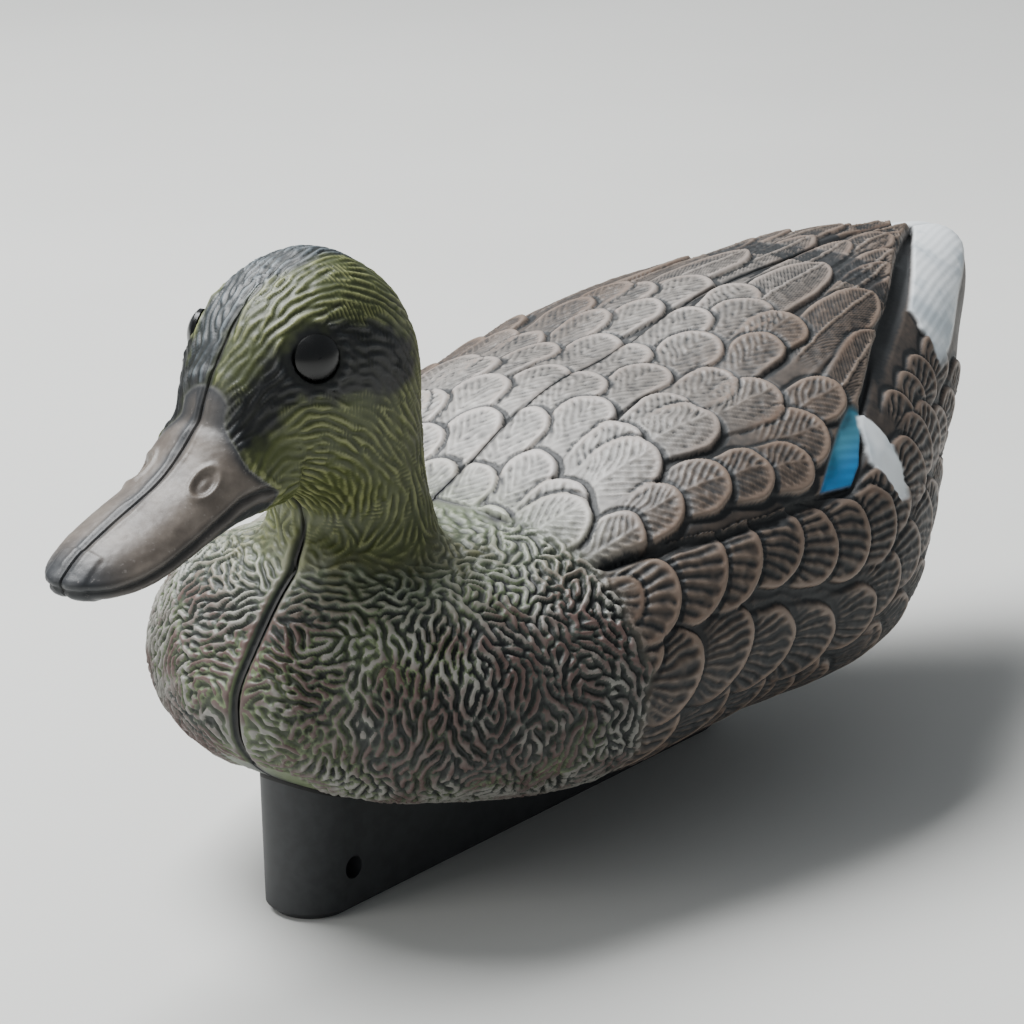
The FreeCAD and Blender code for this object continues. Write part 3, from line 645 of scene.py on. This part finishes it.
SHEET = 404
def bake_map(mesh):
    """A UV map named OFBake: one flat island for each direction the skin faces, packed one by one."""
    n = len(mesh.polygons)
    normal = np.zeros(n * 3, np.float32)
    centre = np.zeros(n * 3, np.float32)
    mesh.polygons.foreach_get("normal", normal)
    mesh.polygons.foreach_get("center", centre)
    normal, centre = normal.reshape(-1, 3), centre.reshape(-1, 3) / MM
    size = np.abs(normal)
    size[:, 1] *= 1.25
    main = size.argmax(1)
    head = (centre[:, 0] > 62) & (centre[:, 2] > 99)
    totals = np.zeros(n, int)
    loops = np.zeros(len(mesh.loops), int)
    mesh.polygons.foreach_get("loop_total", totals)
    mesh.loops.foreach_get("vertex_index", loops)
    face = np.repeat(np.arange(n), totals)
    co = np.zeros(len(mesh.vertices) * 3, np.float32)
    mesh.vertices.foreach_get("co", co)
    co = co.reshape(-1, 3)[loops] / MM
    x, y, z = co[:, 0] + 184, np.abs(co[:, 1]), co[:, 2]
    positive = np.take_along_axis(normal, main[:, None], 1)[:, 0] > 0
    key = main[face] * 4 + positive[face] * 2 + head[face]
    u = np.zeros(len(loops))
    w = np.zeros(len(loops))
    spots = {
        (1, 0): (x, z, 2, 0), (2, 2): (x, y, 2, 118), (2, 0): (x, y, 2, 206),
        (0, 2): (y, z, 318, 0), (0, 0): (y, z, 318, 118),
        (1, 1): (x, z, -240, 196), (2, 3): (x, y, -110, 294), (2, 1): (x, y, -110, 332),
        (0, 3): (y, z, 190, 200), (0, 1): (y, z, 226, 200),
    }
    for (axis, code), (a, b, du, dw) in spots.items():
        codes = [axis * 4 + code] if axis != 1 else [4 + code, 6 + code]
        chosen = np.isin(key, codes)
        u[chosen] = a[chosen] + du
        w[chosen] = b[chosen] + dw
    layer = mesh.uv_layers.new(name="OFBake")
    uv = np.clip(np.stack([u, w], 1) / SHEET, 0, 1)
    layer.data.foreach_set("uv", uv.astype(np.float32).ravel())


def open_seam(mesh, sign):
    """Moves a half out to its side of the weld: fully at the breast and bill, less on the back, not at all on
    the crown, where the two halves are flush."""
    co = np.zeros(len(mesh.vertices) * 3, np.float32)
    mesh.vertices.foreach_get("co", co)
    co = co.reshape(-1, 3)
    x, z = co[:, 0] / MM, co[:, 2] / MM
    crown = crown_mask(x, z)
    upper = smooth(x, 90, 80) * smooth(z, 84, 92)
    co[:, 1] += sign * SEAM_HALF * MM * (1 - np.maximum(crown, 0.6 * upper))
    mesh.vertices.foreach_set("co", co.ravel())


def half_piece(side, points, quads, attributes):
    """One closed half of the skin, cut flat where the two halves meet."""
    sign = 1 if side == "left" else -1
    near = (points[:, 1] * sign)[quads].max(1) > 0
    used = np.zeros(len(points), bool)
    used[quads[near].ravel()] = True
    number = np.cumsum(used) - 1
    mesh = bpy.data.meshes.new(side + "_skin")
    mesh.from_pydata((points[used] * MM).tolist(), [], number[quads[near]].tolist())
    for name, values in attributes.items():
        layer = mesh.attributes.new(name, "FLOAT", "POINT")
        layer.data.foreach_set("value", values[used].astype(np.float32))
    bm = bmesh.new()
    bm.from_mesh(mesh)
    everything = bm.verts[:] + bm.edges[:] + bm.faces[:]
    bmesh.ops.bisect_plane(
        bm, geom=everything, dist=1e-7, plane_co=(0, 0, 0), plane_no=(0, -sign, 0), clear_outer=True)
    rim = [e for e in bm.edges if e.is_boundary]
    caps = bmesh.ops.holes_fill(bm, edges=rim, sides=0)["faces"]
    bmesh.ops.triangulate(bm, faces=caps)
    bmesh.ops.recalc_face_normals(bm, faces=bm.faces)
    bm.to_mesh(mesh)
    bm.free()
    open_seam(mesh, sign)
    mesh.shade_smooth()
    bake_map(mesh)
    obj = bpy.data.objects.new(side + "_skin", mesh)
    bpy.context.scene.collection.objects.link(obj)
    return obj


# ---------------------------------------------------------------- materials

class Nodes:
    """Short names for building a material."""

    def __init__(self, name):
        self.material = bpy.data.materials.new(name)
        self.material.use_nodes = True
        self.tree = self.material.node_tree
        self.tree.nodes.clear()
        self.out = self.tree.nodes.new("ShaderNodeOutputMaterial")
        self.shader = self.tree.nodes.new("ShaderNodeBsdfPrincipled")
        self.tree.links.new(self.shader.outputs[0], self.out.inputs[0])

    def put(self, socket, value):
        if hasattr(value, "is_linked"):
            self.tree.links.new(value, socket)
        elif isinstance(value, str):
            socket.default_value = paint(value)
        else:
            socket.default_value = value

    def field(self, name):
        node = self.tree.nodes.new("ShaderNodeAttribute")
        node.attribute_name = name
        return node.outputs["Fac"]

    def maths(self, kind, a, b=0.0, clamp=False):
        node = self.tree.nodes.new("ShaderNodeMath")
        node.operation = kind
        node.use_clamp = clamp
        self.put(node.inputs[0], a)
        self.put(node.inputs[1], b)
        return node.outputs[0]

    def mix(self, amount, a, b):
        node = self.tree.nodes.new("ShaderNodeMix")
        node.data_type = "RGBA"
        self.put(node.inputs[0], amount)
        self.put(node.inputs[6], a)
        self.put(node.inputs[7], b)
        return node.outputs[2]

    def noise(self, scale, detail):
        place = self.tree.nodes.new("ShaderNodeTexCoord").outputs["Object"]
        node = self.tree.nodes.new("ShaderNodeTexNoise")
        node.inputs["Scale"].default_value = scale
        node.inputs["Detail"].default_value = detail
        node.inputs["Roughness"].default_value = 0.55
        self.tree.links.new(place, node.inputs["Vector"])
        return node.outputs["Fac"]

    def ramp(self, value, lo, hi):
        node = self.tree.nodes.new("ShaderNodeMapRange")
        node.interpolation_type = "SMOOTHSTEP"
        self.put(node.inputs["Value"], value)
        node.inputs["From Min"].default_value = lo
        node.inputs["From Max"].default_value = hi
        return node.outputs["Result"]

    def bump(self, height, strength, distance):
        node = self.tree.nodes.new("ShaderNodeBump")
        node.inputs["Strength"].default_value = strength
        node.inputs["Distance"].default_value = distance
        self.put(node.inputs["Height"], height)
        self.tree.links.new(node.outputs[0], self.shader.inputs["Normal"])


def paint(text):
    """A hex colour as the shader wants it."""
    parts = [int(text[i:i + 2], 16) / 255 for i in (1, 3, 5)]
    return tuple(c / 12.92 if c <= 0.04045 else ((c + 0.055) / 1.055) ** 2.4 for c in parts) + (1.0,)


def skin_material():
    n = Nodes("duck_paint")
    # The high field is painted highlight on raised parts mixed with dry-brushed paint; the low field is
    # painted shade in recesses, gaps, the seam and beside feather edges mixed with dark wash.
    high, low = n.field("high"), n.field("low")
    speck = n.noise(900, 4)
    blotch = n.noise(60, 3)
    patchy = n.noise(28, 3)
    # Painted highlight with dry-brushed paint: raised parts lighter, broken up by fine specks.
    drybrush_and_painted_highlight = n.ramp(n.maths("ADD", high, n.maths("MULTIPLY", n.maths("SUBTRACT", speck, 0.5), 0.5)), 0.0, 1.0)
    # Painted shade together with dark wash: the low field with blotchy variation.
    wash_and_painted_shade = n.maths("ADD", low, n.maths("MULTIPLY", n.maths("SUBTRACT", blotch, 0.5), 0.3), clamp=True)

    olive = n.mix(drybrush_and_painted_highlight, "#3b421f", "#7c8050")
    olive = n.mix(n.maths("MULTIPLY", n.ramp(patchy, 0.35, 0.7), 0.6), olive, "#5f6636")
    olive = n.mix(n.maths("MULTIPLY", drybrush_and_painted_highlight, 0.35), olive, "#8f9166")
    crown = n.mix(drybrush_and_painted_highlight, "#24292c", "#666f74")
    black = n.mix(drybrush_and_painted_highlight, "#07090a", "#191d1f")
    colour = n.mix(n.field("pale"), "#5e5045", "#aeaaa4")
    brown_rim = n.mix(n.field("pale"), "#6b5648", "#ab9e94")
    colour = n.mix(n.maths("MULTIPLY", n.field("rim"), 0.8), colour, brown_rim)
    colour = n.mix(n.maths("MULTIPLY", drybrush_and_painted_highlight, 0.45), colour, n.mix(n.field("pale"), "#8a7b6e", "#cbc9c7"))
    ground = n.mix(n.ramp(patchy, 0.44, 0.58), "#474d44", "#79875f")
    tops = n.mix(n.ramp(blotch, 0.42, 0.6), "#64504a", "#9a9890")
    breast = n.mix(n.ramp(drybrush_and_painted_highlight, 0.35, 0.75), ground, tops)
    colour = n.mix(n.field("breast"), colour, breast)
    colour = n.mix(n.field("sage"), colour, n.mix(drybrush_and_painted_highlight, "#68715a", "#a3aa94"))
    colour = n.mix(n.field("head"), colour, olive)
    colour = n.mix(n.field("crown"), colour, crown)
    colour = n.mix(n.field("patch"), colour, black)
    bill = n.mix(n.ramp(n.noise(120, 4), 0.3, 0.7), "#574f48", "#746b62")
    bill = n.mix(n.field("bill_dark"), bill, "#2c2e31")
    bill = n.mix(n.maths("MULTIPLY", n.ramp(speck, 0.62, 0.72), 0.25), bill, "#a09a94")
    colour = n.mix(n.field("bill"), colour, bill)
    colour = n.mix(n.field("blue"), colour, n.mix(n.field("teal"), "#1479b4", "#3f8197"))
    white = n.mix(n.ramp(blotch, 0.35, 0.6), "#b9c3c9", "#e9eef0")
    colour = n.mix(n.field("bar"), colour, white)
    colour = n.mix(n.field("white"), colour, white)
    # Painted shade and dark wash: darkens towards near black, greener on the head.
    colour = n.mix(wash_and_painted_shade, colour, n.mix(n.field("head"), "#15181a", "#1c2010"))
    n.put(n.shader.inputs["Base Color"], colour)
    rough = n.maths("ADD", 0.34, n.maths("MULTIPLY", speck, 0.2))
    rough = n.maths("ADD", rough, n.maths("MULTIPLY", wash_and_painted_shade, 0.15))
    n.put(n.shader.inputs["Roughness"], rough)
    n.bump(n.maths("ADD", speck, n.maths("MULTIPLY", n.noise(2600, 2), 0.5)), 0.25, 0.00012)
    return n.material


def plain_material(name, first, second, roughness, metallic=0.0, scale=300.0, bump=0.1):
    n = Nodes(name)
    grain = n.noise(scale, 4)
    n.put(n.shader.inputs["Base Color"], n.mix(n.ramp(grain, 0.3, 0.7), first, second))
    n.put(n.shader.inputs["Roughness"], n.maths("ADD", roughness, n.maths("MULTIPLY", grain, 0.12)))
    n.shader.inputs["Metallic"].default_value = metallic
    n.bump(grain, bump, 0.0002)
    return n.material


# ---------------------------------------------------------------- build

def paint_fields(skin, height, m):
    """The masks that the paint material reads, from the relief: painted shade and painted highlight mixed
    with dark wash and dry-brushed paint.
    """
    x, y, z = skin.p.T
    near = skin.blurred(height, 8)
    wide = skin.blurred(near, 50)
    detail, sharp = height - wide, height - near
    v = m["v"]
    feathered, breast = m["feathered"], m["breast"]
    pale = smooth(x, -66, 38) * (1 - smooth(v, 34, 62))
    pale = np.maximum(pale, 0.6 * smooth(x, -150, -50) * (1 - smooth(v, 6, 36)))
    # Painted shade in recesses and below feather edges, mixed with dark wash.
    recess_wash_and_painted_shade = np.maximum(smooth(-detail, 0.1, 0.7), smooth(-sharp, 0.06, 0.3))
    # How much light paint shows: dry-brushed paint on barbs, rims and pale feathers, painted highlight on
    # raised parts, less where shade is painted.
    drybrush_and_painted_light = 0.38 + 0.30 * m["barbs"] + 0.5 * m["rim"] + 0.30 * pale - 0.9 * recess_wash_and_painted_shade
    drybrush_and_painted_light += 0.5 * smooth(detail, 0.1, 0.8)
    # Painted shadow beside the raised edge of each feather.
    drybrush_and_painted_light -= 1.0 * m["shade"]
    # Painted shade: darker towards the bottom of the flank.
    drybrush_and_painted_light -= 0.4 * smooth(v, 76, 126) * (1 - 0.4 * m["rim"])
    drybrush_and_painted_light += 0.18 * lattice_noise(skin.p, 1.3, 71) + 0.12 * lattice_noise(skin.p, 6.0, 72)
    low = feathered * (1 - np.clip(drybrush_and_painted_light, 0, 1))
    # Hollows between the breast ridges darker: dark wash and painted shade.
    worm_wash_and_painted_shade = smooth(-detail, -0.15, 0.4)
    # Painted shade: darker towards the bottom of the breast.
    below = smooth(z, 84, 50)
    patches = 0.5 + 0.5 * lattice_noise(skin.p, 11.0, 74)
    breast_wash_and_painted_shade = worm_wash_and_painted_shade * (0.68 + 0.4 * patches) + 0.4 * below * (1 - worm_wash_and_painted_shade)
    low = np.maximum(low, breast * np.clip(breast_wash_and_painted_shade, 0, 0.97))
    # Painted shade between the hair ridges of the head.
    low = np.maximum(low, m["head"] * smooth(-detail, -0.02, 0.3) * 0.5)
    # Painted shade in the wing gap, the mouth groove and along the seam.
    low = low + 0.95 * m["gap"] + 0.9 * m["groove"] + 0.75 * m["seam"] * (1 - m["bill"] * 0.3)
    low *= 1 - 0.75 * m["white"] - 0.4 * m["bar"] * (1 - m["white"])
    sage = m["body"] * smooth(x, 30, 58) * smooth(z, 78, 98) * (1 - 0.4 * smooth(np.abs(y), 40, 55))
    above_mouth = z - np.interp(x, MOUTH_X, MOUTH_Z)
    ridge = bell(y + 1.2 + 0.9 * lattice_noise(skin.p, 4.0, 73), 2.0)
    bill_dark = np.maximum(ridge * smooth(above_mouth, 2, 5), smooth(x, 168, 180))
    bill_dark = np.maximum(bill_dark, 1 - smooth(above_mouth, -3.6, -1.2))
    bill_dark = np.maximum(bill_dark, 0.55 * (1 - smooth(above_mouth, 0.6, 3.0)))
    bill_dark = np.maximum(bill_dark, bell(m["bill_inset"], 1.8))
    teal = smooth(v, 79, 69)
    # Painted highlight on raised parts, with dry-brushed paint.
    high = smooth(detail, 0.0, 0.55) * 0.7 + smooth(sharp, 0.0, 0.2) * 0.4
    shared = ("rim", "breast", "head", "crown", "patch", "bill", "blue", "bar", "white")
    fields = {name: m[name] for name in shared}
    fields.update(high=np.clip(high, 0, 1), low=np.clip(low, 0, 1), sage=np.clip(sage, 0, 1))
    fields.update(pale=pale, teal=teal, bill_dark=np.clip(bill_dark, 0, 1))
    return fields


skin = Skin(*remeshed(*joined_mesh()))
print("skin vertices", len(skin.p))
soften(skin)
SIDE_OF = (skin.p[:, 1] < 0).astype(int)
height, masks = relief(skin)
fields = paint_fields(skin, height, masks)
raised = skin.p + skin.normals() * height[:, None]
duck_paint = skin_material()
for side in SIDES:
    piece = half_piece(side, raised, skin.quads, fields)
    piece.data.materials.append(duck_paint)
    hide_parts(side + "_shell")
    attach(piece, "decoy")

FINISHES = {
    "seam_weld": ("weld_plastic", ("#141311", "#1d1b18", 0.6)),
    "left_eye": ("eye_plastic", ("#050606", "#090a0a", 0.2)),
    "right_eye": ("eye_plastic", ("#050606", "#090a0a", 0.2)),
    "keel": ("keel_plastic", ("#1f2123", "#2a2c2e", 0.5)),
    "sealing_strip": ("seal_rubber", ("#111111", "#1a1a1a", 0.7)),
    "keel_screws": ("screw_steel", ("#8f9396", "#a5a8aa", 0.3, 1.0)),
    "threaded_inserts": ("insert_brass", ("#b08a45", "#c49d55", 0.3, 1.0)),
    "ballast_bar": ("ballast_iron", ("#4a4643", "#5a544f", 0.6, 0.6)),
    "drain_plug": ("plug_rubber", ("#1a1b1c", "#242526", 0.6)),
    "drain_seal": ("seal_rubber", ("#121212", "#1b1b1b", 0.7)),
}
made = {}
for node, (slot_name, finish_args) in FINISHES.items():
    if slot_name not in made:
        made[slot_name] = plain_material(slot_name, *finish_args)
    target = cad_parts[node]
    target.data.materials.clear()
    target.data.materials.append(made[slot_name])

# ---------------------------------------------------------------- floor, light and camera

def flat_piece(name, corners, material):
    mesh = bpy.data.meshes.new(name)
    mesh.from_pydata(corners, [], [tuple(range(len(corners)))])
    obj = bpy.data.objects.new(name, mesh)
    bpy.context.scene.collection.objects.link(obj)
    obj.data.materials.append(material)
    return obj


FLOOR = 6.0
floor_paint = plain_material("floor_grey", "#d2d2ce", "#d6d6d2", 0.8, scale=4.0, bump=0.0)
corners = [(-FLOOR, -FLOOR, 0), (FLOOR, -FLOOR, 0), (FLOOR, FLOOR, 0), (-FLOOR, FLOOR, 0)]
floor = flat_piece("floor", corners, floor_paint)


def lamp(name, place, aim, size, power, colour):
    data = bpy.data.lights.new(name, "AREA")
    data.shape = "RECTANGLE"
    data.size, data.size_y = size
    data.energy = power
    data.color = colour
    obj = bpy.data.objects.new(name, data)
    bpy.context.scene.collection.objects.link(obj)
    obj.location = place
    obj.rotation_mode = "QUATERNION"
    obj.rotation_quaternion = (Vector(aim) - Vector(place)).to_track_quat("-Z", "Y")
    return obj


lamp("sky", (0.1, -0.7, 1.45), (0, 0, 0.08), (1.0, 1.0), 60, (0.98, 0.99, 1.0))
lamp("front_left", (1.35, -0.6, 0.7), (0.05, 0, 0.08), (0.8, 0.8), 6, (1.0, 0.99, 0.97))
world = bpy.data.worlds.new("soft")
bpy.context.scene.world = world
world.use_nodes = True
world.node_tree.nodes["Background"].inputs[0].default_value = (0.85, 0.9, 0.95, 1)
world.node_tree.nodes["Background"].inputs[1].default_value = 0.33

AZIMUTH, ELEVATION, ROLL = 40.28, 18.863, -1.364
DISTANCE, FOCAL = 1.01671, 3.75512
TARGET = Vector((0.019522, 0.0, 0.082764))
a, e, roll = (math.radians(q) for q in (AZIMUTH, ELEVATION, ROLL))
back = Vector((math.cos(a) * math.cos(e), math.sin(a) * math.cos(e), math.sin(e)))
level = Vector((-math.sin(a), math.cos(a), 0))
up = back.cross(level)
right = level * math.cos(roll) + up * math.sin(roll)
up = up * math.cos(roll) - level * math.sin(roll)
data = bpy.data.cameras.new("camera")
data.sensor_width = 36.0
data.lens = 36.0 * FOCAL
data.clip_start, data.clip_end = 0.05, 50
camera = bpy.data.objects.new("camera", data)
bpy.context.scene.collection.objects.link(camera)
turn = Matrix((right, up, back)).transposed().to_4x4()
camera.matrix_world = Matrix.Translation(TARGET + back * DISTANCE) @ turn
bpy.context.scene.camera = camera
